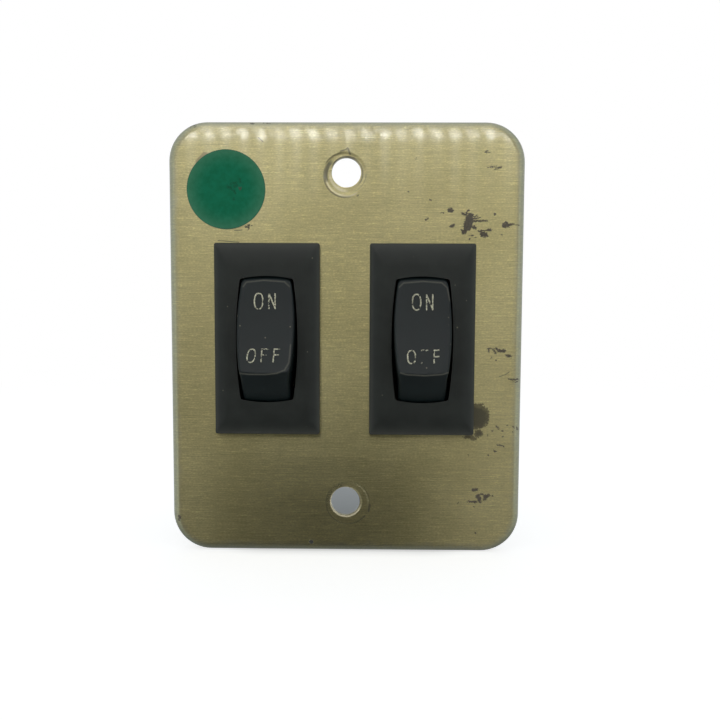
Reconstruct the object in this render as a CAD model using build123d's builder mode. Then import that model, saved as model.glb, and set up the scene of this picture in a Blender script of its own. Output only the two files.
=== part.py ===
from build123d import *
import os
from math import asin, cos, degrees, radians, sin, sqrt

os.makedirs("parts", exist_ok=True)

# Double rocker light switch on a formed sheet-metal wall plate.
# Millimetres. X to the right, Z up, Y into the wall. The origin is the centre
# of the two screw holes, on the plate's front face. The wall is at y = plate_depth.
# Each rocker is shown with its upper end pressed in.

# --- driving dimensions: plate ---
plate_w = 64.7
plate_h = 79.0
plate_cz = -0.2            # plate's centre, below the middle of the screw holes
plate_depth = 3.0          # front face to the rear rim
sheet_t = 0.9
plate_corner_r = 7.1
plate_edge_r = 1.4         # rolled front edge
screw_spacing = 60.325
screw_hole_r = 2.665
head_dish_r = 3.95         # shallow dish pressed by the screw heads
head_dish_depth = 0.1
cutout_w = 15.4
cutout_h = 31.6

# --- driving dimensions: self-adhesive dot ---
dot_r = 7.15
dot_t = 0.15
dot_x = -21.8
dot_z = 27.1

# --- driving dimensions: switch housing ---
switch_pitch = 28.22       # centre to centre of the two switches
switch_dx = -0.2           # the pair stands a little left of the screw holes
bezel_w = 19.14
bezel_h = 34.83
bezel_t = 1.9              # height of the bezel's flat field above the plate
bezel_corner_r = 0.45
bezel_edge_r = 0.2
bezel_flat_z = 13.5        # the front is flat this far up and down, then rolls away
bezel_crown_z = 15.0
bezel_flat_x = 7.1
bezel_crown_x = 6.13
body_w = 15.0
body_h = 31.2
body_end_y = 19.0
chamber_w = 11.2
chamber_h = 28.6
lip_end_y = 0.1            # rear of the bezel's front wall, inside the body
leg_w = 5.2                # snap leg in each end wall
leg_slot = 0.6
leg_root_y = 9.0
barb_out = 1.0

# --- driving dimensions: rocker ---
pivot_y = 6.63
rocker_tilt = 13.0         # half of the travel, degrees
opening_r = 14.3           # opening's ends, about the pivot
rocker_r = 13.95           # rocker's ends, about the pivot
opening_bow_r = 27.0       # the opening's ends bow outward across the width
rocker_bow_r = 38.8        # and so do the rocker's
rocker_face_h = 11.0       # ends of the face above the pivot
rocker_face_sag = 0.35
rocker_half_mid = 5.17
rocker_half_end = 4.3
rocker_bow_u = 9.3         # the sides are bowed this far from the middle, then straight
opening_half_mid = 5.6
opening_half_13 = 4.51
rocker_wall = 1.17
trunnion_r = 1.4
trunnion_clear = 0.05
plunger_r = 1.4
bore_r = 1.475
boss_r = 2.3
bore_top_h = 8.4
plunger_top_h = 2.5
plunger_tip_h = -5.0       # centre of the round tip, below the pivot

# --- driving dimensions: contacts and terminals ---
blade_axis_y = 14.13
blade_tilt = 6.0           # half of the blade's travel, degrees
blade_t = 0.9
blade_half_w = 2.0
blade_low = -8.1
blade_high = 5.3
contact_v = -6.3           # contact's place along the blade
contact_r = 1.6
fixed_z = -6.6             # fixed contact, where the domed one meets it
fulcrum_r = 0.4
terminal_t = 0.8
tab_half_w = 3.15
tab_end_y = 27.0
tab_hole_r = 0.9
tab_hole_y = 23.6
load_z = -10.6
base_y = 16.6

s13, c13 = sin(radians(rocker_tilt)), cos(radians(rocker_tilt))
s6, c6 = sin(radians(blade_tilt)), cos(radians(blade_tilt))


# ---------------------------------------------------------------- faceplate
# one drawn sheet: flat face, rolled edge, short rim that stands on the wall
with BuildPart() as faceplate:
    with BuildSketch(Plane.XZ.offset(-plate_depth)):
        with Locations((0, plate_cz)):
            RectangleRounded(plate_w, plate_h, plate_corner_r)
    extrude(amount=plate_depth)
    fillet(faceplate.edges().group_by(Axis.Y)[0], plate_edge_r)
    offset(amount=-sheet_t, openings=faceplate.faces().sort_by(Axis.Y)[-1])
    # screw holes
    with BuildSketch(Plane.XZ):
        with Locations((0, screw_spacing / 2), (0, -screw_spacing / 2)):
            Circle(screw_hole_r)
    extrude(amount=2, both=True, mode=Mode.SUBTRACT)
    # shallow dishes where the screw heads bit, a little off the holes' centres
    for dx, z in ((-0.25, screw_spacing / 2 - 0.2), (-0.05, -screw_spacing / 2 - 0.1)):
        with BuildSketch(Plane(origin=(dx, -0.001, z), x_dir=(1, 0, 0), z_dir=(0, 0, 1))):
            with BuildLine():
                Polyline(
                    (0, -0.3), (head_dish_r + 0.02, -0.3), (head_dish_r, 0),
                    (head_dish_r - 0.5, head_dish_depth * 0.75),
                    (2.2, head_dish_depth), (0, head_dish_depth), close=True,
                )
            make_face()
        revolve(axis=Axis((dx, 0, z), (0, 1, 0)), mode=Mode.SUBTRACT)
    # two cut-outs for the switch bodies
    with BuildSketch(Plane.XZ):
        with Locations((switch_dx - switch_pitch / 2, 0), (switch_dx + switch_pitch / 2, 0)):
            RectangleRounded(cutout_w, cutout_h, 0.6)
    extrude(amount=2, both=True, mode=Mode.SUBTRACT)
faceplate.part.label = "faceplate"
export_step(faceplate.part, "parts/faceplate.step")

# ---------------------------------------------------------- green dot label
with BuildPart() as green_dot_label:
    with BuildSketch(Plane.XZ):
        with Locations((dot_x, dot_z)):
            Circle(dot_r)
    extrude(amount=dot_t)
    fillet(green_dot_label.edges().group_by(Axis.Y)[0], 0.06)
green_dot_label.part.label = "green_dot_label"
export_step(green_dot_label.part, "parts/green_dot_label.step")


for side, cx in (("left", switch_dx - switch_pitch / 2), ("right", switch_dx + switch_pitch / 2)):
    # planes of this switch
    front = Plane(origin=(cx, 0, 0), x_dir=(1, 0, 0), z_dir=(0, -1, 0))        # x, z
    profile = Plane(origin=(cx, 0, 0), x_dir=(0, 0, 1), z_dir=(1, 0, 0))       # z, -y
    across = Plane(origin=(cx, 0, 0), x_dir=(1, 0, 0), z_dir=(0, 0, -1))       # x, -y
    pivot = (cx, pivot_y, 0)
    rk_top = Plane(origin=pivot, x_dir=(1, 0, 0), z_dir=(0, -c13, s13))        # x, u
    rk_side = Plane(origin=pivot, x_dir=(0, s13, c13), z_dir=(1, 0, 0))        # u, h
    bl_top = Plane(origin=(cx, blade_axis_y, 0), x_dir=(1, 0, 0), z_dir=(0, -c6, -s6))  # x, v

    # ------------------------------------------------------------- housing
    # room for the rocker: ends turned about the pivot, sides bowed
    with BuildPart() as opening:
        with BuildSketch(front.offset(-lip_end_y - 0.05)):
            with BuildLine():
                a = ThreePointArc((opening_half_13, -13), (opening_half_mid, 0), (opening_half_13, 13))
                b = Line(a @ 1, (-opening_half_13, 13))
                c = ThreePointArc(b @ 1, (-opening_half_mid, 0), (-opening_half_13, -13))
                Line(c @ 1, a @ 0)
            make_face()
        extrude(amount=3)
        with BuildSketch(Plane(origin=pivot, x_dir=(1, 0, 0), z_dir=(0, 0, 1))):
            with BuildLine():
                r6 = opening_r - opening_bow_r + sqrt(opening_bow_r ** 2 - 36)
                t1 = ThreePointArc((-6, r6), (0, opening_r), (6, r6))
                Polyline(t1 @ 1, (6, 0), (-6, 0), t1 @ 0)
            make_face()
        revolve(axis=Axis(pivot, (1, 0, 0)), mode=Mode.INTERSECT)
        corner = [
            e for e in opening.edges()
            if abs(e.center().Z) > 10.5 and abs(abs(e.center().X - cx) - 4.7) < 0.35
            and abs((e @ 0).Y - (e @ 1).Y) > 1
        ]
        fillet(corner, 0.45)

    with BuildPart() as housing:
        with BuildSketch(front):
            RectangleRounded(bezel_w, bezel_h, bezel_corner_r)
        extrude(amount=bezel_t)
        # crowned along its height, with a softened rim
        turn = degrees(asin((bezel_h / 2 - bezel_flat_z - bezel_edge_r) / (bezel_crown_z - bezel_edge_r)))
        with BuildSketch(profile):
            with BuildLine():
                l1 = Line((0, bezel_t), (bezel_flat_z, bezel_t))
                l2 = JernArc(l1 @ 1, (1, 0), bezel_crown_z, -turn)
                l3 = JernArc(l2 @ 1, l2 % 1, bezel_edge_r, turn - 90)
                Polyline(l3 @ 1, ((l3 @ 1).X, -0.5), (0, -0.5))
                mirror(about=Plane.YZ)
            make_face()
        extrude(amount=bezel_w, both=True, mode=Mode.INTERSECT)
        # crowned across its width
        turn = degrees(asin((bezel_w / 2 - bezel_flat_x - bezel_edge_r) / (bezel_crown_x - bezel_edge_r)))
        with BuildSketch(across):
            with BuildLine():
                m1 = Line((0, bezel_t), (bezel_flat_x, bezel_t))
                m2 = JernArc(m1 @ 1, (1, 0), bezel_crown_x, -turn)
                m3 = JernArc(m2 @ 1, m2 % 1, bezel_edge_r, turn - 90)
                Polyline(m3 @ 1, ((m3 @ 1).X, -0.5), (0, -0.5))
                mirror(about=Plane.YZ)
            make_face()
        extrude(amount=bezel_h, both=True, mode=Mode.INTERSECT)
        # body behind the plate
        with BuildSketch(front):
            RectangleRounded(body_w, body_h, 0.5)
        extrude(amount=-body_end_y)
        with BuildSketch(front.offset(-lip_end_y)):
            RectangleRounded(chamber_w, chamber_h, 0.3)
        extrude(amount=-(body_end_y - lip_end_y), mode=Mode.SUBTRACT)
        add(opening.part, mode=Mode.SUBTRACT)
        # bearing holes for the rocker's trunnions
        with Locations(Plane(origin=pivot, x_dir=(0, 0, 1), z_dir=(1, 0, 0))):
            Cylinder(trunnion_r + trunnion_clear, 20, mode=Mode.SUBTRACT)
        # windows that catch the base
        for z in (-8, 8):
            with Locations((cx, 17.95, z)):
                Box(20, 1.3, 3.2, mode=Mode.SUBTRACT)
        for up in (-1, 1):
            # snap leg: cut free on three sides, hinged at its rear
            for dx in (-1, 1):
                with Locations((cx + dx * (leg_w + leg_slot) / 2, (lip_end_y + leg_root_y) / 2, up * (body_h / 2 - 0.65))):
                    Box(leg_slot, leg_root_y - lip_end_y, 2.2, mode=Mode.SUBTRACT)
            with Locations((cx, (lip_end_y + 1.0) / 2, up * (body_h / 2 - 0.65))):
                Box(leg_w + leg_slot, 1.0 - lip_end_y, 2.2, mode=Mode.SUBTRACT)
            # barb behind the sheet
            with BuildSketch(profile.offset(-leg_w / 2 + 0.2)):
                with BuildLine():
                    Polyline(
                        (up * (body_h / 2 - 0.3), -1.0), (up * (body_h / 2 + barb_out - 0.25), -1.0),
                        (up * (body_h / 2 + barb_out), -1.35), (up * (body_h / 2 + barb_out), -1.7),
                        (up * (body_h / 2 - 0.3), -6.2), close=True,
                    )
                make_face()
            extrude(amount=leg_w - 0.4)
        # draft at the rear edge, to lead the body into the cut-out
        rear = [e for e in housing.edges() if abs(e.center().Y - body_end_y) < 1e-3
                and (abs(abs(e.center().X - cx) - body_w / 2) < 0.2 or abs(abs(e.center().Z) - body_h / 2) < 0.2)]
        chamfer(rear, 0.25)
    housing.part.label = side + "_housing"
    export_step(housing.part, "parts/" + side + "_housing.step")

    # -------------------------------------------------------------- rocker
    u_end = sqrt(rocker_r ** 2 - rocker_face_h ** 2)
    ri = rocker_r - rocker_wall
    h_in = rocker_face_h - rocker_face_sag - rocker_wall
    # hollow inside
    with BuildPart() as rocker_hollow:
        with BuildSketch(rk_side):
            with BuildLine():
                ue = sqrt(ri ** 2 - h_in ** 2)
                n1 = Line((0, h_in), (ue, h_in))
                n2 = ThreePointArc(n1 @ 1, (ri * sin(radians(59)), ri * cos(radians(59))),
                                   (ri * sin(radians(82)), ri * cos(radians(82))))
                n3 = Polyline(n2 @ 1, ((n2 @ 1).X, -4), (0, -4))
                mirror(about=Plane.YZ)
            make_face()
        extrude(amount=8, both=True)
        with BuildSketch(rk_top.offset(-6)):
            with BuildLine():
                p1 = ThreePointArc((rocker_half_end - rocker_wall, -8.5), (rocker_half_mid - rocker_wall, 0),
                                   (rocker_half_end - rocker_wall, 8.5))
                p2 = Polyline(p1 @ 1, (rocker_half_end - rocker_wall, 14), (-rocker_half_end + rocker_wall, 14),
                              (-rocker_half_end + rocker_wall, 8.5))
                p3 = ThreePointArc(p2 @ 1, (-rocker_half_mid + rocker_wall, 0), (-rocker_half_end + rocker_wall, -8.5))
                Polyline(p3 @ 1, (-rocker_half_end + rocker_wall, -14), (rocker_half_end - rocker_wall, -14), p1 @ 0)
            make_face()
        extrude(amount=18, mode=Mode.INTERSECT)

    with BuildPart() as rocker:
        with BuildSketch(rk_side):
            with BuildLine():
                out_h = rocker_face_h + 0.28
                f1 = ThreePointArc((-11.5, out_h), (0, rocker_face_h - rocker_face_sag), (11.5, out_h))
                f3 = Polyline(f1 @ 1, (15.1, 3.487), (13.592, 3.138), (4.2, 1.2), (2.57, -0.4))
                f4 = ThreePointArc(f3 @ 1, (0, -2.6), (-2.57, -0.4))
                Polyline(f4 @ 1, (-4.2, 1.2), (-13.592, 3.138), (-15.1, 3.487), f1 @ 0)
            make_face()
        extrude(amount=8, both=True)
        with BuildSketch(rk_top.offset(-6)) as plan:
            with BuildLine():
                q1 = ThreePointArc((rocker_half_end, -rocker_bow_u), (rocker_half_mid, 0), (rocker_half_end, rocker_bow_u))
                q2 = Polyline(q1 @ 1, (rocker_half_end, 14.5), (-rocker_half_end, 14.5), (-rocker_half_end, rocker_bow_u))
                q3 = ThreePointArc(q2 @ 1, (-rocker_half_mid, 0), (-rocker_half_end, -rocker_bow_u))
                Polyline(q3 @ 1, (-rocker_half_end, -14.5), (rocker_half_end, -14.5), q1 @ 0)
            make_face()
            fillet([v for v in plan.vertices() if abs(abs(v.Y) - rocker_bow_u) < 0.01], 6)
        extrude(amount=18, mode=Mode.INTERSECT)
        # both ends turned about the pivot, so that they pass close to the opening
        with BuildSketch(Plane(origin=pivot, x_dir=(1, 0, 0), z_dir=(0, 0, 1))):
            with BuildLine():
                r6 = rocker_r - rocker_bow_r + sqrt(rocker_bow_r ** 2 - 36)
                t1 = ThreePointArc((-6, r6), (0, rocker_r), (6, r6))
                Polyline(t1 @ 1, (6, 0), (-6, 0), t1 @ 0)
            make_face()
        revolve(axis=Axis(pivot, (1, 0, 0)), mode=Mode.INTERSECT)
        # soft corners down both ends, then a softened rim round the face
        ends = []
        for e in rocker.edges():
            on_end = True
            for t in (0.02, 0.5, 0.98):
                m = rk_top.to_local_coords(e @ t)
                r_here = rocker_r - rocker_bow_r + sqrt(rocker_bow_r ** 2 - m.X ** 2)
                if abs(sqrt(m.Y ** 2 + m.Z ** 2) - r_here) > 0.02 or abs(m.X) < 3.9 or m.Z < 3.0:
                    on_end = False
            if on_end:
                ends.append(e)
        fillet(ends, 0.7)
        brim = []
        for e in rocker.edges():
            m0, m1 = rk_top.to_local_coords(e @ 0), rk_top.to_local_coords(e @ 1)
            if min(m0.Z, m1.Z) > rocker_face_h - 0.6:
                brim.append(e)
        fillet(brim, 0.35)
        add(rocker_hollow.part, mode=Mode.SUBTRACT)
        # boss for the plunger, tied to the side walls by two ribs
        with BuildSketch(rk_top.offset(-2.6)):
            Circle(boss_r)
        extrude(amount=2.6 + h_in + 0.3)
        for dx in (-1, 1):
            with BuildSketch(rk_top.offset(2)):
                with Locations((dx * (boss_r + 4.2) / 2 - dx * 0.2, 0)):
                    Rectangle(4.2 - boss_r + 0.4, 1.0)
            extrude(amount=h_in - 1.8)
        with BuildSketch(rk_top.offset(-2.7)):
            Circle(bore_r)
        extrude(amount=bore_top_h + 2.7, mode=Mode.SUBTRACT)
        # trunnions with a collar against the housing's wall
        for dx in (-1, 1):
            wall = Plane(origin=(cx + dx * 4.1, pivot_y, 0), x_dir=(0, 0, 1), z_dir=(dx, 0, 0))
            with BuildSketch(wall):
                Circle(2.4)
            extrude(amount=1.35)
            with BuildSketch(wall):
                Circle(trunnion_r)
            extrude(amount=3.2)
        tips = [e for e in rocker.edges() if abs(abs(e.center().X - cx) - 7.3) < 1e-3]
        chamfer(tips, 0.35)
    rocker.part.label = side + "_rocker"
    export_step(rocker.part, "parts/" + side + "_rocker.step")

    # ------------------------------------------------------------- plunger
    with BuildPart() as plunger:
        with BuildSketch(rk_side):
            with BuildLine():
                g1 = Polyline((0, 3.9), (0.65, 3.9), (0.8, 3.75), (0.8, plunger_top_h), (plunger_r - 0.15, plunger_top_h),
                              (plunger_r, plunger_top_h - 0.15), (plunger_r, plunger_tip_h))
                g2 = ThreePointArc(g1 @ 1, (plunger_r * sin(radians(45)), plunger_tip_h - plunger_r * cos(radians(45))),
                                   (0, plunger_tip_h - plunger_r))
                Line(g2 @ 1, g1 @ 0)
            make_face()
        revolve(axis=Axis(pivot, (0, -c13, s13)))
    plunger.part.label = side + "_plunger"
    export_step(plunger.part, "parts/" + side + "_plunger.step")

    # ------------------------------------------------------ plunger spring
    spring_wire_r = 0.18
    spring_mean_r = 1.12
    spring_low = plunger_top_h + spring_wire_r + 0.02
    spring_high = bore_top_h - spring_wire_r - 0.02
    with BuildPart() as plunger_spring:
        with BuildLine():
            wire = Helix(
                pitch=(spring_high - spring_low) / 6.5, height=spring_high - spring_low, radius=spring_mean_r,
                center=(cx, pivot_y - c13 * spring_low, s13 * spring_low), direction=(0, -c13, s13),
            )
        with BuildSketch(Plane(origin=wire @ 0, z_dir=wire % 0)):
            Circle(spring_wire_r)
        sweep(path=wire, is_frenet=True)
    plunger_spring.part.label = side + "_plunger_spring"
    export_step(plunger_spring.part, "parts/" + side + "_plunger_spring.step")

    # ------------------------------------------------------- contact blade
    back = fulcrum_r - 0.3      # blade's rear face, in front of the turning axis
    with BuildPart() as contact_blade:
        with BuildSketch(bl_top.offset(back)):
            with Locations((0, (blade_low + blade_high) / 2)):
                RectangleRounded(2 * blade_half_w, blade_high - blade_low, 0.8)
        extrude(amount=blade_t)
        with Locations(Plane(origin=(cx, blade_axis_y, 0), x_dir=(0, 0, 1), z_dir=(1, 0, 0))):
            Cylinder(fulcrum_r + 0.05, 20, mode=Mode.SUBTRACT)
        with BuildSketch(bl_top):
            with Locations((0, contact_v)):
                Circle(0.8)
        extrude(amount=3, mode=Mode.SUBTRACT)
    contact_blade.part.label = side + "_contact_blade"
    export_step(contact_blade.part, "parts/" + side + "_contact_blade.step")

    # ------------------------------------------------------ moving contact
    with BuildPart() as moving_contact:
        seat = bl_top.from_local_coords(Vector(0, contact_v, 0))
        with BuildSketch(Plane(origin=seat, x_dir=(1, 0, 0), z_dir=(0, s6, -c6))):
            with BuildLine():
                k1 = ThreePointArc((0, back - 0.5), (0.8, back - 0.4356), (contact_r, back - 0.2367))
                Polyline(k1 @ 1, (contact_r, back), (0.78, back), (0.78, back + blade_t), (0, back + blade_t), k1 @ 0)
            make_face()
        revolve(axis=Axis(seat, (0, -c6, -s6)))
    moving_contact.part.label = side + "_moving_contact"
    export_step(moving_contact.part, "parts/" + side + "_moving_contact.step")

    # ----------------------------------------------------- common terminal
    # flat stamping: rounded saddle edge between two horns, shoulders, tab
    flat = Plane(origin=(cx, 0, -terminal_t / 2), x_dir=(1, 0, 0), z_dir=(0, 0, 1))
    with BuildPart() as common_terminal:
        with BuildSketch(flat):
            with BuildLine():
                Polyline(
                    (0, blade_axis_y), (2.35, blade_axis_y), (2.35, 12.95), (2.6, 12.7), (tab_half_w, 12.7),
                    (tab_half_w, base_y - 0.8), (4.0, base_y - 0.8), (4.0, base_y), (tab_half_w, base_y),
                    (tab_half_w, tab_end_y - 1.4), (2.2, tab_end_y), (-2.2, tab_end_y),
                    (-tab_half_w, tab_end_y - 1.4), (-tab_half_w, base_y), (-4.0, base_y), (-4.0, base_y - 0.8),
                    (-tab_half_w, base_y - 0.8), (-tab_half_w, 12.7), (-2.6, 12.7), (-2.35, 12.95),
                    (-2.35, blade_axis_y), close=True,
                )
            make_face()
            with Locations((0, tab_hole_y)):
                Circle(tab_hole_r, mode=Mode.SUBTRACT)
        extrude(amount=terminal_t)
        with Locations(Plane(origin=(cx, blade_axis_y, 0), x_dir=(0, 0, 1), z_dir=(1, 0, 0))):
            Cylinder(fulcrum_r, 4.7)
        tab_end = [e for e in common_terminal.edges() if abs(e.center().Y - tab_end_y) < 1e-3 and abs(e.length - 4.4) < 0.1]
        chamfer(tab_end, 0.25)
    common_terminal.part.label = side + "_common_terminal"
    export_step(common_terminal.part, "parts/" + side + "_common_terminal.step")

    # ------------------------------------------------------- load terminal
    # strip bent once: leg under the fixed contact, tab behind
    with BuildPart() as load_terminal:
        with BuildSketch(Plane(origin=(cx - tab_half_w, 0, 0), x_dir=(0, 1, 0), z_dir=(1, 0, 0))):
            with BuildLine():
                Polyline(
                    (base_y - 0.8, -4.4), (base_y, -4.4), (base_y, load_z + 0.4), (tab_end_y, load_z + 0.4),
                    (tab_end_y, load_z - 0.4), (base_y - 0.8, load_z - 0.4), close=True,
                )
            make_face()
        extrude(amount=2 * tab_half_w)
        outer = [e for e in load_terminal.edges() if abs(e.center().Y - (base_y - 0.8)) < 1e-3 and abs(e.center().Z - (load_z - 0.4)) < 1e-3]
        fillet(outer, 1.0)
        inner = [e for e in load_terminal.edges() if abs(e.center().Y - base_y) < 1e-3 and abs(e.center().Z - (load_z + 0.4)) < 1e-3]
        fillet(inner, 0.25)
        with BuildSketch(Plane(origin=(cx, 0, load_z - 2), x_dir=(1, 0, 0), z_dir=(0, 0, 1))):
            with Locations((0, tab_hole_y)):
                Circle(tab_hole_r)
            for dx in (-1, 1):
                with BuildLine():
                    Polyline((dx * 2.2, tab_end_y + 0.1), (dx * (tab_half_w + 0.1), tab_end_y + 0.1),
                             (dx * (tab_half_w + 0.1), tab_end_y - 1.5), (dx * tab_half_w, tab_end_y - 1.4),
                             (dx * 2.2, tab_end_y), close=True)
                make_face()
        extrude(amount=4, mode=Mode.SUBTRACT)
        with BuildSketch(front.offset(-base_y - 1)):
            with Locations((0, fixed_z)):
                Circle(0.8)
        extrude(amount=3, mode=Mode.SUBTRACT)
    load_terminal.part.label = side + "_load_terminal"
    export_step(load_terminal.part, "parts/" + side + "_load_terminal.step")

    # ------------------------------------------------------- fixed contact
    with BuildPart() as fixed_contact:
        with BuildSketch(front.offset(-(base_y - 0.8))):
            with Locations((0, fixed_z)):
                Circle(contact_r)
        extrude(amount=0.5)
        fillet(fixed_contact.edges().sort_by(Axis.Y)[0], 0.2)
        with BuildSketch(front.offset(-(base_y - 0.02))):
            with Locations((0, fixed_z)):
                Circle(0.78)
        extrude(amount=0.9)
    fixed_contact.part.label = side + "_fixed_contact"
    export_step(fixed_contact.part, "parts/" + side + "_fixed_contact.step")

    # ------------------------------------------------------- terminal base
    # closes the body, carries both terminals and stops the blade when off
    with BuildPart() as terminal_base:
        with BuildSketch(front.offset(-body_end_y)):
            RectangleRounded(chamber_w - 0.1, chamber_h - 0.1, 0.35)
        extrude(amount=body_end_y - base_y)
        # stop for the blade's free end
        with Locations((cx, (base_y + 14.67) / 2 + 0.1, 4.8)):
            Box(4.0, base_y - 14.67 + 0.2, 1.0)
        # posts that hold the common terminal upright
        for dx in (-1, 1):
            for dz in (-1, 1):
                with Locations((cx + dx * 3.3, base_y - 0.7, dz * 1.05)):
                    Box(1.5, 1.8, 1.1)
        # slots for the two tabs
        with Locations((cx, 18, 0)):
            Box(2 * tab_half_w + 0.06, 6, terminal_t + 0.06, mode=Mode.SUBTRACT)
        with Locations((cx, 18, load_z)):
            Box(2 * tab_half_w + 0.06, 6, terminal_t + 0.06, mode=Mode.SUBTRACT)
        with Locations((cx, base_y, load_z + 0.6)):
            Box(2 * tab_half_w + 0.06, 0.7, 0.5, mode=Mode.SUBTRACT)
        # nubs in the housing's windows, ramped for assembly
        for dx in (-1, 1):
            for z in (-8, 8):
                with BuildSketch(Plane(origin=(cx, 0, z - 1.5), x_dir=(1, 0, 0), z_dir=(0, 0, 1))):
                    with BuildLine():
                        Polyline((dx * 5.3, 17.4), (dx * 6.2, 17.4), (dx * 6.9, 18.1), (dx * 6.9, 18.5), (dx * 5.3, 18.5), close=True)
                    make_face()
                extrude(amount=3.0)
    terminal_base.part.label = side + "_terminal_base"
    export_step(terminal_base.part, "parts/" + side + "_terminal_base.step")
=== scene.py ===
import math
import random

import bpy
import numpy as np
from mathutils import Matrix, Vector


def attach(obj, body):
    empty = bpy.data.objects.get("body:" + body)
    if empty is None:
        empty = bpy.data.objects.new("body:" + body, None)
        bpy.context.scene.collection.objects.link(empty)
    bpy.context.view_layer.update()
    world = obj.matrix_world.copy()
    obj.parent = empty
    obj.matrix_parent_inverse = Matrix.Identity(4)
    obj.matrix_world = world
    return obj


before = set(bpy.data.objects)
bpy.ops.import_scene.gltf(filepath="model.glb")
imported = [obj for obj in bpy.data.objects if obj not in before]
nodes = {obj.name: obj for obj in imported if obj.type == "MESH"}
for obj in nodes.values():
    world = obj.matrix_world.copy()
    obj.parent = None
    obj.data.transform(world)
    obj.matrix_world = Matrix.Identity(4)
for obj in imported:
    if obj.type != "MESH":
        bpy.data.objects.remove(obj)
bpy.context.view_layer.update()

scene = bpy.context.scene
MM = 0.001

# ------------------------------------------------------------------ camera
# Solved from the plate's corners, the screw holes and the bezels.
F_PX, MID_PX = 818.0, 359.5


def _rot(rx, ry, rz):
    a, b, c = (math.radians(v) for v in (rx, ry, rz))
    mx = Matrix(((1, 0, 0), (0, math.cos(a), -math.sin(a)), (0, math.sin(a), math.cos(a))))
    my = Matrix(((math.cos(b), 0, math.sin(b)), (0, 1, 0), (-math.sin(b), 0, math.cos(b))))
    mz = Matrix(((math.cos(c), -math.sin(c), 0), (math.sin(c), math.cos(c), 0), (0, 0, 1)))
    return mz @ my @ mx


CAM_R = _rot(4.5, 0.87, 0.31) @ Matrix(((1, 0, 0), (0, 0, -1), (0, 1, 0)))
CAM_T = Vector((-2.6, -3.8, 150.1))
CAM_C = -(CAM_R.transposed() @ CAM_T)

cam_data = bpy.data.cameras.new("camera")
cam = bpy.data.objects.new("camera", cam_data)
scene.collection.objects.link(cam)
scene.camera = cam
cam_data.sensor_width = 36.0
cam_data.lens = F_PX / 720 * 36.0
cam_data.clip_start = 0.005
cam_data.clip_end = 50
world_m = CAM_R.transposed()
cam.matrix_world = Matrix((
    (world_m[0][0], -world_m[0][1], -world_m[0][2], CAM_C.x * MM),
    (world_m[1][0], -world_m[1][1], -world_m[1][2], CAM_C.y * MM),
    (world_m[2][0], -world_m[2][1], -world_m[2][2], CAM_C.z * MM),
    (0, 0, 0, 1),
))


def ray(u, v):
    """Direction in the part's frame through a point of the 720 frame."""
    return (CAM_R.transposed() @ Vector(((u - MID_PX) / F_PX, (v - MID_PX) / F_PX, 1.0))).normalized()


def on_plate(u, v, y=0.0):
    """Point of the plate's front, in mm, behind a point of the 720 frame."""
    d = ray(u, v)
    p = CAM_C + d * ((y - CAM_C.y) / d.y)
    return p.x, p.z


# rocker: pivot, tilt at rest and the concave face
PIVOT_Y, TILT = 6.63, math.radians(13.0)
FACE_H, FACE_R = 10.65, 105.3
ROCKER_X = {"left": -14.31, "right": 13.91}
S13, C13 = math.sin(TILT), math.cos(TILT)


def face_h(u):
    return FACE_H + FACE_R - math.sqrt(FACE_R ** 2 - u * u)


def rocker_point(cx, x, u, h):
    return Vector((cx + x, PIVOT_Y + u * S13 - h * C13, u * C13 + h * S13))


def on_face(cx, px, py):
    """Place on a rocker's face, as (x, up the face), behind a point of the 720 frame."""
    d = ray(px, py)
    u = 0.0
    for _ in range(6):
        h = face_h(u)
        n = Vector((0, -C13, S13))
        p0 = Vector((cx, PIVOT_Y, 0)) + n * h
        t = (p0 - CAM_C).dot(n) / d.dot(n)
        p = CAM_C + d * t
        u = (p - p0).dot(Vector((0, S13, C13)))
    return p.x - cx, u


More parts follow.
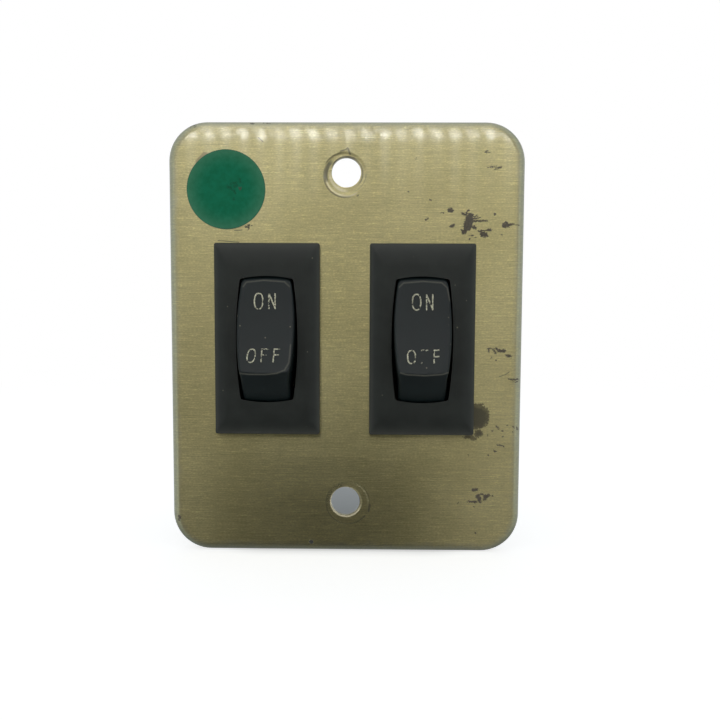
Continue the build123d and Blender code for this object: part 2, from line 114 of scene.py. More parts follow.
# --------------------------------------------------------- node-tree helper
class Graph:
    def __init__(self, tree):
        self.tree = tree

    def new(self, kind, **props):
        n = self.tree.nodes.new(kind)
        for k, v in props.items():
            setattr(n, k, v)
        return n

    def put(self, socket, value):
        if isinstance(value, bpy.types.NodeSocket):
            self.tree.links.new(value, socket)
        else:
            socket.default_value = value

    def math(self, op, a, b=0.0, c=0.0, clamp=False):
        n = self.new("ShaderNodeMath", operation=op, use_clamp=clamp)
        for s, v in zip(n.inputs, (a, b, c)):
            self.put(s, v)
        return n.outputs[0]

    def vec(self, op, a, b=(0, 0, 0), scale=None):
        n = self.new("ShaderNodeVectorMath", operation=op)
        self.put(n.inputs[0], a)
        if op not in ("LENGTH", "NORMALIZE", "SCALE", "ABSOLUTE"):
            self.put(n.inputs[1], b)
        if scale is not None:
            self.put(n.inputs["Scale"], scale)
        return n.outputs["Value"] if op in ("LENGTH", "DOT_PRODUCT", "DISTANCE") else n.outputs["Vector"]

    def add(self, a, b):
        return self.math("ADD", a, b)

    def sub(self, a, b):
        return self.math("SUBTRACT", a, b)

    def mul(self, a, b):
        return self.math("MULTIPLY", a, b)

    def lo(self, a, b):
        return self.math("MINIMUM", a, b)

    def hi(self, a, b):
        return self.math("MAXIMUM", a, b)

    def step(self, x, start, end, out0=0.0, out1=1.0):
        """Smooth change from out0 at start to out1 at end."""
        n = self.new("ShaderNodeMapRange", interpolation_type="SMOOTHSTEP")
        for s, v in zip(n.inputs, (x, start, end, out0, out1)):
            self.put(s, v)
        return n.outputs[0]

    def line(self, x, start, end, out0=0.0, out1=1.0):
        n = self.new("ShaderNodeMapRange", interpolation_type="LINEAR", clamp=True)
        for s, v in zip(n.inputs, (x, start, end, out0, out1)):
            self.put(s, v)
        return n.outputs[0]

    def xyz(self, v):
        n = self.new("ShaderNodeSeparateXYZ")
        self.put(n.inputs[0], v)
        return n.outputs[0], n.outputs[1], n.outputs[2]

    def join(self, x, y, z=0.0):
        n = self.new("ShaderNodeCombineXYZ")
        for s, v in zip(n.inputs, (x, y, z)):
            self.put(s, v)
        return n.outputs[0]

    def noise(self, v, scale=1.0, detail=2.0, rough=0.5, warp=0.0, lac=2.0):
        n = self.new("ShaderNodeTexNoise", noise_dimensions="3D")
        self.put(n.inputs["Vector"], v)
        n.inputs["Scale"].default_value = scale
        n.inputs["Detail"].default_value = detail
        n.inputs["Roughness"].default_value = rough
        n.inputs["Lacunarity"].default_value = lac
        n.inputs["Distortion"].default_value = warp
        return n.outputs[0]

    def cells(self, v, scale=1.0, feature="F1", rnd=1.0):
        n = self.new("ShaderNodeTexVoronoi", voronoi_dimensions="3D", feature=feature)
        self.put(n.inputs["Vector"], v)
        n.inputs["Scale"].default_value = scale
        n.inputs["Randomness"].default_value = rnd
        return n.outputs["Distance"]

    def mix(self, fac, a, b):
        n = self.new("ShaderNodeMix", data_type="FLOAT", clamp_factor=True)
        self.put(n.inputs["Factor"], fac)
        self.put(n.inputs[2], a)
        self.put(n.inputs[3], b)
        return n.outputs[0]

    def tint(self, fac, a, b, blend="MIX"):
        n = self.new("ShaderNodeMix", data_type="RGBA", blend_type=blend, clamp_factor=True)
        self.put(n.inputs["Factor"], fac)
        self.put(n.inputs[6], a if isinstance(a, bpy.types.NodeSocket) else (*a, 1.0))
        self.put(n.inputs[7], b if isinstance(b, bpy.types.NodeSocket) else (*b, 1.0))
        return n.outputs[2]

    def bump(self, height, distance, strength=1.0, normal=None):
        n = self.new("ShaderNodeBump")
        n.inputs["Strength"].default_value = strength
        n.inputs["Distance"].default_value = distance
        self.put(n.inputs["Height"], height)
        if normal is not None:
            self.put(n.inputs["Normal"], normal)
        return n.outputs[0]

    def place(self):
        """Object coordinates in mm."""
        n = self.new("ShaderNodeTexCoord")
        return self.vec("SCALE", n.outputs["Object"], scale=1000.0)

    def strokes(self, p, items):
        """Least distance to round-ended strokes (ax, az, bx, bz, r) in the p plane, minus their radii.
        The running least distance travels in the third component of p."""
        state = self.vec("MULTIPLY_ADD", p, (1, 1, 0))
        self.tree.nodes[-1].inputs[2].default_value = (0, 0, 50)
        for ax, az, bx, bz, r in items:
            q = self.vec("MULTIPLY_ADD", state, (1, 1, 0))
            self.tree.nodes[-1].inputs[2].default_value = (-ax, -az, 0)
            dx, dz = bx - ax, bz - az
            ll = dx * dx + dz * dz
            if ll > 1e-6:
                t = self.math("ADD", self.vec("DOT_PRODUCT", q, (dx / ll, dz / ll, 0)), 0.0, clamp=True)
                q = self.vec("SUBTRACT", q, self.vec("SCALE", (dx, dz, 0), scale=t))
            d = self.sub(self.vec("LENGTH", q), r)
            state = self.vec("MINIMUM", state, self.join(1e4, 1e4, d))
        return self.xyz(state)[2]


def srgb(r, g, b):
    out = []
    for c in (r, g, b):
        c /= 255
        out.append(c / 12.92 if c <= 0.04045 else ((c + 0.055) / 1.055) ** 2.4)
    return tuple(out)


def material(name, **sockets):
    m = bpy.data.materials.new(name)
    m.use_nodes = True
    m.node_tree.nodes.clear()
    g = Graph(m.node_tree)
    out = g.new("ShaderNodeOutputMaterial")
    shader = g.new("ShaderNodeBsdfPrincipled")
    m.node_tree.links.new(shader.outputs[0], out.inputs["Surface"])
    for k, v in sockets.items():
        k = k.replace("_", " ")
        shader.inputs[k].default_value = (*v, 1.0) if isinstance(v, tuple) and len(v) == 3 else v
    return m, g, shader.inputs


def give(node, mat):
    o = nodes[node]
    o.data.materials.clear()
    o.data.materials.append(mat)


# ============================================================ brushed brass
def px(*pts):
    """Strokes given in the 720 frame, as (u, v, u2, v2, radius in px)."""
    out = []
    for u, v, u2, v2, r in pts:
        (ax, az), (bx, bz) = on_plate(u, v), on_plate(u2, v2)
        out.append((ax, az, bx, bz, r * 0.184))
    return out


plate_mat, g, p_in = material(
    "brushed_brass", Metallic=1.0, Anisotropic=0.9, Coat_Weight=1.0, Coat_Roughness=0.045, Coat_IOR=1.5,
)
P = g.place()
px_, py_, pz_ = g.xyz(P)
flat2 = g.join(px_, pz_)
geo = g.new("ShaderNodeNewGeometry")
_, ny_, _ = g.xyz(geo.outputs["Normal"])
front = g.step(ny_, -0.15, -0.6)                       # 1 on the front and on its rolled edge
# brush grain: long fine scratches along X
grain_f = g.noise(g.vec("MULTIPLY", P, (0.45, 1.0, 4.8)), 1.0, 1.0, 0.6)
grain_c = g.noise(g.vec("MULTIPLY", P, (0.08, 1.0, 4.2)), 1.0, 2.0, 0.7)
grain_s = g.noise(g.vec("MULTIPLY", P, (2.5, 1.0, 4.6)), 1.0, 1.0, 0.5)
blotch = g.noise(P, 0.06, 3.0, 0.55)
cloud = g.noise(P, 0.35, 3.0, 0.6)
# distance inside the plate's rounded outline
qx = g.sub(g.math("ABSOLUTE", px_), 64.7 / 2 - 7.1)
qz = g.sub(g.math("ABSOLUTE", g.add(pz_, 0.2)), 79.0 / 2 - 7.1)
outside = g.vec("LENGTH", g.join(g.hi(qx, 0.0), g.hi(qz, 0.0)))
edge = g.sub(7.1, g.add(outside, g.lo(g.hi(qx, qz), 0.0)))    # mm in from the outline

# ragged worn spots where the plating is gone
warp1 = g.new("ShaderNodeTexNoise", noise_dimensions="3D")
g.put(warp1.inputs["Vector"], P)
warp1.inputs["Scale"].default_value = 2.1
warp1.inputs["Detail"].default_value = 4.0
warp1.inputs["Roughness"].default_value = 0.72
wv = g.vec("MULTIPLY", g.vec("SUBTRACT", warp1.outputs["Color"], (0.5, 0.5, 0.5)), (1.15, 0.8, 0.0))
pw = g.vec("ADD", flat2, wv)
spots = px(
    # main worn patch, upper right
    (467.0, 226.0, 469.0, 219.0, 4.3), (469.0, 217.5, 469.8, 215.5, 3.2), (465.2, 229.8, 463.4, 231.6, 2.2),
    (462.3, 213.2, 465.6, 214.6, 1.3), (465.8, 213.4, 467.8, 210.2, 1.0), (470.5, 217.2, 476.6, 215.2, 0.9),
    (472.5, 218.4, 478.8, 217.2, 0.8), (474.0, 220.6, 486.6, 220.2, 0.85), (473.2, 226.8, 473.9, 227.2, 1.8),
    (461.2, 229.9, 463.0, 230.8, 0.9),
    (477.6, 230.6, 490.3, 229.6, 0.85), (481.6, 233.8, 485.2, 234.4, 2.3), (483.6, 236.2, 484.4, 236.4, 1.0),
    (468.8, 235.0, 471.8, 234.8, 0.7), (468.7, 238.5, 468.9, 238.5, 0.75), (473.6, 237.5, 475.2, 237.4, 0.45),
    (448.6, 209.8, 451.6, 210.2, 1.9), (450.6, 207.6, 450.9, 208.0, 1.1), (440.8, 212.4, 442.2, 212.4, 0.5),
    (425.2, 218.9, 427.3, 218.4, 0.85), (450.6, 225.8, 453.4, 225.0, 1.3), (429.9, 199.5, 430.1, 199.5, 0.8),
    (494.1, 213.9, 494.6, 213.2, 0.9),
    (503.4, 225.4, 507.2, 224.6, 2.3), (505.4, 222.0, 506.0, 222.4, 1.4), (509.5, 224.2, 512.5, 223.6, 1.2),
    (513.0, 224.4, 518.0, 224.6, 0.45), (501.0, 234.3, 501.2, 234.3, 0.9), (496.5, 245.5, 496.7, 245.5, 0.5),
    # small marks above them
    (485.0, 151.9, 487.0, 151.0, 0.7), (487.0, 151.0, 489.6, 152.6, 0.65),
    (487.2, 166.6, 495.6, 165.5, 0.5), (495.6, 165.5, 492.0, 166.9, 0.5), (492.0, 166.9, 494.6, 167.6, 0.55),
    (494.6, 167.8, 498.6, 167.4, 0.8), (498.6, 167.4, 500.4, 166.4, 0.7),
    (415.4, 158.3, 415.6, 158.3, 0.5),
    # right of the right bezel
    (488.2, 348.4, 488.7, 351.0, 0.9), (487.8, 348.1, 492.9, 348.9, 0.8), (493.6, 350.0, 495.4, 352.8, 1.0),
    (496.0, 348.4, 497.4, 350.8, 1.2), (498.6, 350.4, 503.8, 350.4, 1.6), (502.0, 348.8, 504.4, 350.0, 0.9),
    (506.0, 354.4, 507.6, 355.2, 1.2), (508.4, 355.8, 510.2, 355.4, 1.3), (490.8, 357.3, 491.6, 357.5, 0.8),
    (495.2, 359.6, 495.5, 359.8, 0.7),
    (507.8, 378.6, 512.6, 379.4, 0.65), (512.6, 379.4, 517.6, 378.8, 0.85), (511.5, 381.4, 517.0, 381.4, 0.4),
    (495.8, 426.2, 497.6, 428.2, 0.7), (498.4, 426.2, 497.6, 428.2, 0.5), (491.6, 430.3, 492.0, 430.3, 0.8),
    (501.6, 430.4, 502.6, 430.8, 0.8), (487.2, 434.6, 487.4, 434.7, 0.6), (502.3, 436.4, 502.6, 436.4, 0.6),
    (506.0, 424.8, 507.0, 425.2, 0.5), (512.8, 426.2, 513.4, 426.5, 0.8), (516.4, 427.0, 516.8, 429.0, 0.9),
    (512.0, 431.2, 512.6, 431.2, 0.5),
    (496.9, 444.4, 503.4, 445.5, 0.75), (493.4, 450.3, 494.8, 450.9, 0.7), (468.2, 454.6, 468.4, 454.8, 0.5),
    (487.4, 454.6, 487.6, 454.8, 0.6),
    # lower right patch
    (472.4, 489.6, 476.6, 489.2, 1.5), (468.3, 501.0, 475.4, 501.5, 1.2), (477.2, 495.6, 479.0, 498.4, 2.3),
    (480.6, 493.8, 482.6, 494.2, 1.0), (478.8, 500.4, 480.2, 501.2, 1.5), (483.8, 499.2, 485.0, 498.8, 1.4),
    (484.6, 496.2, 488.4, 494.8, 1.8), (489.0, 495.0, 492.4, 495.2, 0.5), (457.3, 502.5, 457.5, 502.5, 0.75),
    (474.4, 532.2, 474.6, 532.4, 0.95), (473.2, 506.6, 473.4, 506.6, 0.4),
    # elsewhere
    (245.0, 226.6, 248.4, 224.8, 0.9), (248.6, 225.2, 248.0, 228.2, 0.8),
    (250.8, 225.0, 251.4, 225.0, 0.4), (188.5, 125.8, 194.5, 124.0, 0.5), (190.2, 127.2, 195.4, 125.6, 0.45),
    (249.0, 122.6, 254.0, 122.4, 0.45), (262.0, 122.2, 269.0, 122.2, 0.4), (407.8, 191.2, 408.0, 191.3, 0.5),
    (179.0, 515.0, 178.8, 519.5, 1.0), (180.4, 516.0, 180.0, 517.5, 0.6),
)
mottle = g.noise(P, 4.5, 3.0, 0.7)
ragged = g.noise(g.vec("MULTIPLY", P, (1.1, 1.0, 5.5)), 1.0, 3.0, 0.7)
spot_d = g.add(g.strokes(pw, spots), g.add(g.mul(g.sub(mottle, 0.5), 0.34), g.mul(g.sub(ragged, 0.5), 0.75)))
worn = g.mul(g.step(spot_d, 0.05, -0.06), front)

# soft brown stain at the right bezel's lower corner
stain_items = px((477.0, 414.6, 477.0, 417.4, 12.0), (476.6, 433.0, 478.6, 432.8, 4.3), (466.0, 436.0, 473.0, 437.2, 3.0))
pw2 = g.vec("ADD", flat2, g.vec("SCALE", wv, scale=0.75))
torn = g.noise(P, 1.5, 4.0, 0.78)
stain_d = g.add(g.strokes(pw2, stain_items), g.mul(g.sub(torn, 0.5), 2.0))
stain = g.mul(g.step(stain_d, 0.06, -0.16), front)
stain_core = g.mul(g.step(g.add(stain_d, g.mul(g.sub(cloud, 0.5), 1.6)), -0.2, -0.8), g.mul(front, g.step(mottle, 0.30, 0.60, 0.4, 1.0)))
# paler brown mark that shows past the label's edge
tan_d = g.strokes(pw2, px((198.6, 161.4, 204.4, 154.8, 3.5)))
tan = g.mul(g.step(tan_d, 0.12, -0.2), front)


def arc(cu, cv, r, half, toward, spread, soft=0.6):
    """Part of a thin ring round a point of the 720 frame: angle from +X, counter-clockwise, in degrees."""
    cx_, cz_ = on_plate(cu, cv)
    q = g.vec("SUBTRACT", pw3, (cx_, cz_, 0.0))
    away = g.vec("LENGTH", q)
    band = g.step(g.math("ABSOLUTE", g.sub(away, r * 0.184)), half * 0.184, half * 0.184 * (1 - soft))
    if spread >= 180:
        return band
    t = math.radians(toward)
    along = g.math("DIVIDE", g.vec("DOT_PRODUCT", q, (math.cos(t), math.sin(t), 0.0)), g.hi(away, 0.01))
    return g.mul(band, g.step(along, math.cos(math.radians(spread)), math.cos(math.radians(spread * 0.55))))


# screw-head marks round the two holes; the pale arcs also hold a painted highlight on the bottom hole's rim
pw3 = g.vec("ADD", flat2, g.vec("SCALE", wv, scale=0.10))
scar = g.strokes(pw3, px((340.0, 150.6, 345.0, 149.2, 0.5), (345.0, 149.2, 347.4, 147.2, 0.5), (347.8, 148.4, 349.6, 153.6, 0.8),
                         (369.2, 504.2, 368.2, 510.6, 0.9), (364.0, 515.6, 360.4, 519.0, 0.6), (356.6, 195.4, 357.8, 194.6, 0.6),
                         (258.0, 137.0, 262.4, 141.0, 0.45), (499.0, 376.0, 505.0, 374.2, 0.32), (505.0, 374.2, 508.8, 371.4, 0.32),
                         (217.5, 240.0, 238.5, 241.8, 0.35), (219.0, 242.6, 232.0, 243.0, 0.3), (234.0, 230.2, 241.4, 229.4, 0.35)))
marks = [
    (arc(345, 175, 19.4, 2.6, 166, 38), 0.75), (arc(345, 175, 21.2, 1.1, 214, 82), 0.62),
    (arc(345, 175.5, 22.8, 1.0, 124, 30), 0.5), (arc(346.6, 172.9, 15.9, 1.6, 104, 62), 0.8),
    (arc(346.6, 172.9, 15.4, 1.0, 12, 70), 0.55), (arc(346.6, 173.2, 18.6, 0.9, -38, 46), 0.35),
    (arc(347.2, 502, 21.8, 1.0, 230, 110), 0.5), (arc(347.2, 502, 22.0, 0.9, 35, 60), 0.3),
    (g.mul(arc(347.2, 502, 19.6, 2.9, 150, 62), g.step(mottle, 0.42, 0.62)), 0.85), (g.step(scar, 0.07, -0.04), 0.72),
]
# pale arcs: screw-head scuffs, plus a painted highlight along the bottom hole's rim (the two arcs at radius 15.3-15.4)
lines = [
    (arc(345, 175, 19.3, 1.0, 224, 56), 0.6), (arc(345, 175, 20.2, 0.9, 276, 34), 0.75),
    (arc(346.6, 173, 16.9, 1.7, 226, 54), 0.55), (arc(345.4, 500.8, 15.4, 1.2, 245, 130), 0.95),
    (arc(345.6, 501.2, 15.3, 0.9, 50, 80), 0.35), (g.mul(arc(347.2, 502, 20.4, 0.9, 30, 45), g.step(mottle, 0.45, 0.6)), 0.6),
]
mark_dark = pale_scuff_and_rim_highlight = 0.0
for m_, k_ in marks:
    mark_dark = g.hi(mark_dark, g.mul(m_, k_))
for m_, k_ in lines:
    pale_scuff_and_rim_highlight = g.hi(pale_scuff_and_rim_highlight, g.mul(m_, k_))
mark_dark, pale_scuff_and_rim_highlight = g.mul(mark_dark, front), g.mul(pale_scuff_and_rim_highlight, front)

# base colour
brass = g.tint(g.step(blotch, 0.35, 0.68), (0.700, 0.622, 0.300), (0.790, 0.705, 0.352))
brass = g.tint(g.mul(g.step(cloud, 0.45, 0.75), 0.35), brass, (0.60, 0.55, 0.27))
streak = g.add(g.add(g.mul(g.sub(grain_c, 0.5), 0.85), g.mul(g.sub(grain_f, 0.5), 0.75)), g.mul(g.sub(grain_s, 0.5), 0.85))
flecks = g.hi(g.sub(streak, 0.10), 0.0)
level = g.add(g.math("MULTIPLY_ADD", streak, 0.52, 1.0), g.mul(flecks, 0.7))
brass = g.vec("MINIMUM", g.vec("SCALE", brass, scale=level), (0.97, 0.97, 0.97))
# painted reflection: bluish-grey tint over the plate's outer ~2 mm, where the rolled edge mirrors the surroundings at
# the sides
rim_reflection_tint = g.step(g.add(edge, g.mul(g.sub(cloud, 0.5), 1.6)), 2.2, 0.1)
brass = g.tint(g.mul(rim_reflection_tint, 0.50), brass, (0.50, 0.53, 0.50))
dull = g.tint(g.step(blotch, 0.3, 0.7), (0.36, 0.31, 0.16), (0.44, 0.38, 0.20))
brass = g.tint(front, dull, brass)
# pale scuffs, and the painted rim highlight of the bottom hole
brass = g.tint(pale_scuff_and_rim_highlight, brass, (0.92, 0.83, 0.58))
brass = g.tint(mark_dark, brass, (0.14, 0.138, 0.11))
brass = g.tint(g.mul(tan, 0.7), brass, (0.34, 0.25, 0.16))
pit = g.mul(g.step(g.strokes(pw3, px((310.6, 541.2, 310.9, 541.3, 2.2))), 0.06, -0.05), front)
stain_col = g.tint(g.step(mottle, 0.35, 0.65), (0.085, 0.074, 0.038), (0.150, 0.128, 0.066))
brass = g.tint(g.mul(stain, 0.92), brass, stain_col)
brass = g.tint(g.mul(stain_core, 0.75), brass, (0.050, 0.048, 0.032))
worn_col = g.tint(g.step(g.noise(P, 3.0, 3.0, 0.6), 0.3, 0.7), srgb(70, 62, 50), srgb(92, 84, 70))
g.put(p_in["Base Color"], g.tint(pit, g.tint(worn, brass, worn_col), (0.045, 0.045, 0.040)))
g.put(p_in["Metallic"], g.math("SUBTRACT", 1.0, g.hi(g.hi(g.mul(worn, 0.9), g.mul(stain, 0.45)), g.hi(g.mul(pale_scuff_and_rim_highlight, 0.6), pit)), clamp=True))
rough = g.add(0.33, g.mul(g.sub(grain_f, 0.5), 0.10))
rough = g.add(rough, g.mul(g.sub(cloud, 0.5), 0.06))
rough = g.mix(front, 0.5, rough)
rough = g.mix(worn, rough, 0.62)
rough = g.mix(g.mul(stain, 0.7), rough, 0.55)
rough = g.mix(g.mul(mark_dark, 0.7), rough, 0.5)
g.put(p_in["Roughness"], rough)
grain_h = g.add(g.mul(grain_f, 0.55), g.add(g.mul(grain_s, 0.3), g.mul(grain_c, 0.35)))
n1 = g.bump(grain_h, 0.000005)
n_coat = g.bump(g.noise(g.vec("MULTIPLY", P, (0.8, 1.0, 8.0)), 1.0, 1.0, 0.5), 0.0000005)
g.put(p_in["Normal"], n1)
g.put(p_in["Coat Normal"], n_coat)
tangent = g.vec("CROSS_PRODUCT", geo.outputs["Normal"], (1.0, 0.0, 0.05))
g.put(p_in["Tangent"], tangent)
give("faceplate", plate_mat)

# ============================================================== green label
label_mat, g, s = material("green_label", Specular_IOR_Level=0.14)
P = g.place()
x_, y_, z_ = g.xyz(P)
rr = g.vec("LENGTH", g.join(g.add(x_, 21.8), g.sub(z_, 27.1)))
n_a = g.noise(P, 0.9, 4.0, 0.6)
n_b = g.noise(P, 4.5, 3.0, 0.65)
col = g.tint(g.step(n_a, 0.3, 0.7), srgb(1, 95, 64), srgb(5, 105, 75))
col = g.tint(g.mul(g.step(n_b, 0.52, 0.75), 0.30), col, srgb(28, 104, 76))
rim = g.line(g.add(rr, g.mul(g.sub(n_a, 0.5), 1.5)), 3.6, 7.3)
col = g.tint(g.mul(g.mul(rim, rim), 0.85), col, srgb(66, 120, 92))
col = g.tint(g.mul(g.step(rr, 6.95, 7.2), 0.5), col, srgb(58, 70, 66))
dark = g.strokes(g.vec("ADD", g.join(x_, z_), g.vec("SCALE", g.join(g.sub(n_a, 0.5), g.sub(n_b, 0.5)), scale=1.6)),
                 px((227.0, 186.0, 233.0, 190.0, 1.0), (233.0, 190.0, 236.0, 193.0, 0.9), (231.0, 183.6, 236.0, 182.0, 0.8),
                    (238.0, 178.4, 240.4, 181.6, 0.8), (234.0, 186.4, 237.0, 185.0, 0.9), (233.4, 198.4, 233.8, 198.8, 1.0)))
col = g.tint(g.mul(g.step(dark, 0.18, -0.12), 0.6), col, srgb(14, 62, 42))
red = g.strokes(g.join(x_, z_), px((238.6, 187.0, 239.6, 189.2, 0.6), (240.8, 187.0, 239.8, 189.2, 0.6)))
col = g.tint(g.mul(g.step(red, 0.10, -0.08), 0.75), col, srgb(74, 62, 58))
g.put(s["Base Color"], col)
g.put(s["Roughness"], g.add(0.5, g.mul(g.sub(n_b, 0.5), 0.25)))
g.put(s["Normal"], g.bump(g.add(n_b, g.mul(n_a, 2.0)), 0.00002))
give("green_dot_label", label_mat)


# ====================================================== moulded black plastic
def black(name, tone, rough0, dust, soften, front_y, dots):
    m, g, s = material(name, Specular_IOR_Level=0.45)
    P = g.place()
    X, Y, Z = g.xyz(P)
    fine = g.noise(P, 9.0, 3.0, 0.6)
    soft = g.noise(P, 0.35, 3.0, 0.55)
    col = g.tint(g.step(soft, 0.3, 0.7), tuple(c * 0.88 for c in tone), tuple(c * 1.14 for c in tone))
    col = g.tint(g.mul(g.step(fine, 0.55, 0.8), 0.25), col, tuple(min(1, c * 1.8) for c in tone))
    speck = g.cells(P, dust)
    pick = g.noise(P, dust * 0.35, 1.0, 0.5)
    specks = g.mul(g.step(speck, 0.085, 0.045), g.step(pick, 0.62, 0.68))
    placed = [(*on_plate(u, v, front_y), *on_plate(u, v, front_y), r * 0.184) for u, v, r in dots]
    dot_d = g.strokes(g.join(X, Z), [(a, b, c, d, r) for a, b, c, d, r in placed])
    specks = g.hi(specks, g.mul(g.step(dot_d, 0.05, -0.03), g.step(Y, front_y + 3.0, front_y + 2.0)))
    col = g.tint(g.mul(specks, 0.8), col, srgb(120, 116, 100))
    g.put(s["Base Color"], col)
    r = g.add(rough0, g.mul(g.sub(soft, 0.5), 0.14))
    r = g.add(r, g.mul(g.sub(fine, 0.5), 0.12))
    r = g.mix(specks, r, 0.8)
    g.put(s["Roughness"], r)
    under = None
    if soften:
        bevel = g.new("ShaderNodeBevel", samples=4)
        if name == "black_housing":
            # rounds the crown's meeting lines, clear of the opening's edge
            ax = g.lo(g.math("ABSOLUTE", g.sub(X, ROCKER_X["left"])), g.math("ABSOLUTE", g.sub(X, ROCKER_X["right"])))
            clear = g.hi(g.step(ax, 6.3, 7.0), g.step(g.math("ABSOLUTE", Z), 13.6, 14.3))
            g.put(bevel.inputs["Radius"], g.mul(clear, soften))
            # painted highlight: a faint pale tint on the crown's outer slopes, within 1.2 mm of the plate
            col = g.tint(g.mul(g.mul(clear, g.step(Y, -1.8, -1.2)), g.mul(g.step(Y, 0.3, 0.0), 0.11)), col, srgb(150, 150, 138))
            g.put(s["Base Color"], col)
        else:
            bevel.inputs["Radius"].default_value = soften
        under = bevel.outputs[0]
        if name == "black_rocker":
            # painted highlight lines along the ridges: the crest, the rim of the upper end and the right edge
            ridges = []
            for pts in (
                ((239.5, 371.6), (250.0, 372.6), (266.0, 372.8), (278.0, 371.6), (285.4, 368.4), (289.6, 361.0), (290.6, 344.0)),
                ((241.6, 286.0), (244.6, 281.6), (262.0, 279.6), (283.0, 281.2), (288.2, 285.8)),
                ((399.6, 371.2), (406.0, 373.0), (424.0, 374.0), (441.0, 372.8), (447.6, 370.6)),
                ((399.0, 286.6), (403.4, 282.4), (423.0, 280.8), (442.0, 282.2), (447.4, 287.0), (449.6, 300.0)),
            ):
                ridges += [(*on_plate(*p0, -3.6), *on_plate(*p1, -3.6), 0.07) for p0, p1 in zip(pts, pts[1:])]
            ridge_highlight = g.mul(g.step(g.strokes(g.join(X, Z), ridges), 0.16, -0.06), g.step(fine, 0.25, 0.60, 0.3, 1.0))
            ridge_highlight = g.mul(ridge_highlight, g.step(Y, 0.5, -0.5))
            # painted highlight: paler base colour along the rocker's ridges
            g.put(s["Base Color"], g.tint(g.mul(ridge_highlight, 0.5), col, srgb(104, 102, 90)))
    g.put(s["Normal"], g.bump(g.add(fine, g.mul(soft, 0.6)), 0.000012, 1.0, under))
    return m


bezel_mat = black("black_housing", (0.0138, 0.0168, 0.0138), 0.45, 0.55, 0.0009, -1.9,
                  ((227.0, 306.0, 0.45), (307.0, 351.4, 0.4), (456.8, 327.0, 0.65), (454.6, 284.6, 0.4), (222.4, 390.0, 0.4), (466.0, 300.0, 0.35)))
rocker_mat = black("black_rocker", (0.0028, 0.0074, 0.0076), 0.40, 0.5, 0.00028, -3.6,
                   ((236.7, 315.4, 0.5), (239.6, 325.2, 0.65), (289.8, 326.2, 0.6), (265.2, 337.0, 0.6), (448.2, 317.0, 0.4), (449.8, 343.6, 0.35)))
for side in ("left", "right"):
    give(side + "_housing", bezel_mat)
    give(side + "_rocker", rocker_mat)


# ==================================================================== inside
def metal(name, c0, c1, rough0, stretch, aniso=0.0):
    m, g, s = material(name, Metallic=1.0, Anisotropic=aniso)
    P = g.place()
    a = g.noise(g.vec("MULTIPLY", P, stretch), 2.0, 3.0, 0.6)
    b = g.noise(P, 0.5, 3.0, 0.6)
    g.put(s["Base Color"], g.tint(g.step(b, 0.3, 0.7), c0, c1))
    g.put(s["Roughness"], g.add(rough0, g.add(g.mul(g.sub(a, 0.5), 0.2), g.mul(g.sub(b, 0.5), 0.15))))
    g.put(s["Normal"], g.bump(a, 0.000012))
    return m


tab_mat = metal("terminal_brass", (0.66, 0.50, 0.22), (0.78, 0.62, 0.30), 0.32, (0.3, 0.3, 5.0))
steel_mat = metal("spring_steel", (0.46, 0.47, 0.48), (0.60, 0.60, 0.60), 0.28, (3, 3, 3))
copper_mat = metal("contact_copper", (0.70, 0.33, 0.19), (0.82, 0.43, 0.27), 0.30, (4.0, 0.5, 0.5))
silver_mat = metal("contact_silver", (0.72, 0.71, 0.68), (0.86, 0.85, 0.82), 0.26, (3, 3, 3))


def plastic(name, c0, c1, rough0, scale):
    m, g, s = material(name, Specular_IOR_Level=0.45)
    P = g.place()
    a = g.noise(P, scale, 4.0, 0.6)
    b = g.noise(P, 0.4, 2.0, 0.5)
    g.put(s["Base Color"], g.tint(g.step(a, 0.3, 0.7), c0, c1))
    g.put(s["Roughness"], g.add(rough0, g.mul(g.sub(b, 0.5), 0.2)))
    g.put(s["Normal"], g.bump(a, 0.00001))
    return m


white_mat = plastic("white_moulding", (0.70, 0.69, 0.65), (0.80, 0.79, 0.75), 0.40, 6.0)
base_mat = plastic("base_moulding", (0.050, 0.030, 0.018), (0.085, 0.050, 0.030), 0.48, 5.0)
for side in ("left", "right"):
    give(side + "_plunger", white_mat)
    give(side + "_plunger_spring", steel_mat)
    give(side + "_contact_blade", copper_mat)
    give(side + "_moving_contact", silver_mat)
    give(side + "_fixed_contact", silver_mat)
    give(side + "_common_terminal", tab_mat)
    give(side + "_load_terminal", tab_mat)
    give(side + "_terminal_base", base_mat)

# =================================================================== legends
ink_mat, g, s = material("legend_ink", Specular_IOR_Level=0.4)
P = g.place()
a = g.noise(P, 5.0, 4.0, 0.65)
g.put(s["Base Color"], g.tint(g.step(a, 0.34, 0.62), srgb(122, 120, 98), srgb(212, 210, 184)))
g.put(s["Roughness"], g.add(0.5, g.mul(g.sub(a, 0.5), 0.3)))
g.put(s["Normal"], g.bump(a, 0.00001))


def seg(ax, ay, bx, by):
    def f(x, y):
        dx, dy = bx - ax, by - ay
        t = np.clip(((x - ax) * dx + (y - ay) * dy) / (dx * dx + dy * dy), 0, 1)
        return np.hypot(x - ax - dx * t, y - ay - dy * t)
    return f


def ring(cx, cy, rx, ry, lean=0.0):
    pts = []
    for k in range(48):
        t = 2 * math.pi * k / 48
        e = 0.86
        c, s_ = math.cos(t), math.sin(t)
        X = rx * math.copysign(abs(c) ** e, c)
        Y = ry * math.copysign(abs(s_) ** e, s_)
        pts.append((cx + X + lean * Y, cy + Y))
    return [seg(*pts[k], *pts[(k + 1) % 48]) for k in range(48)]


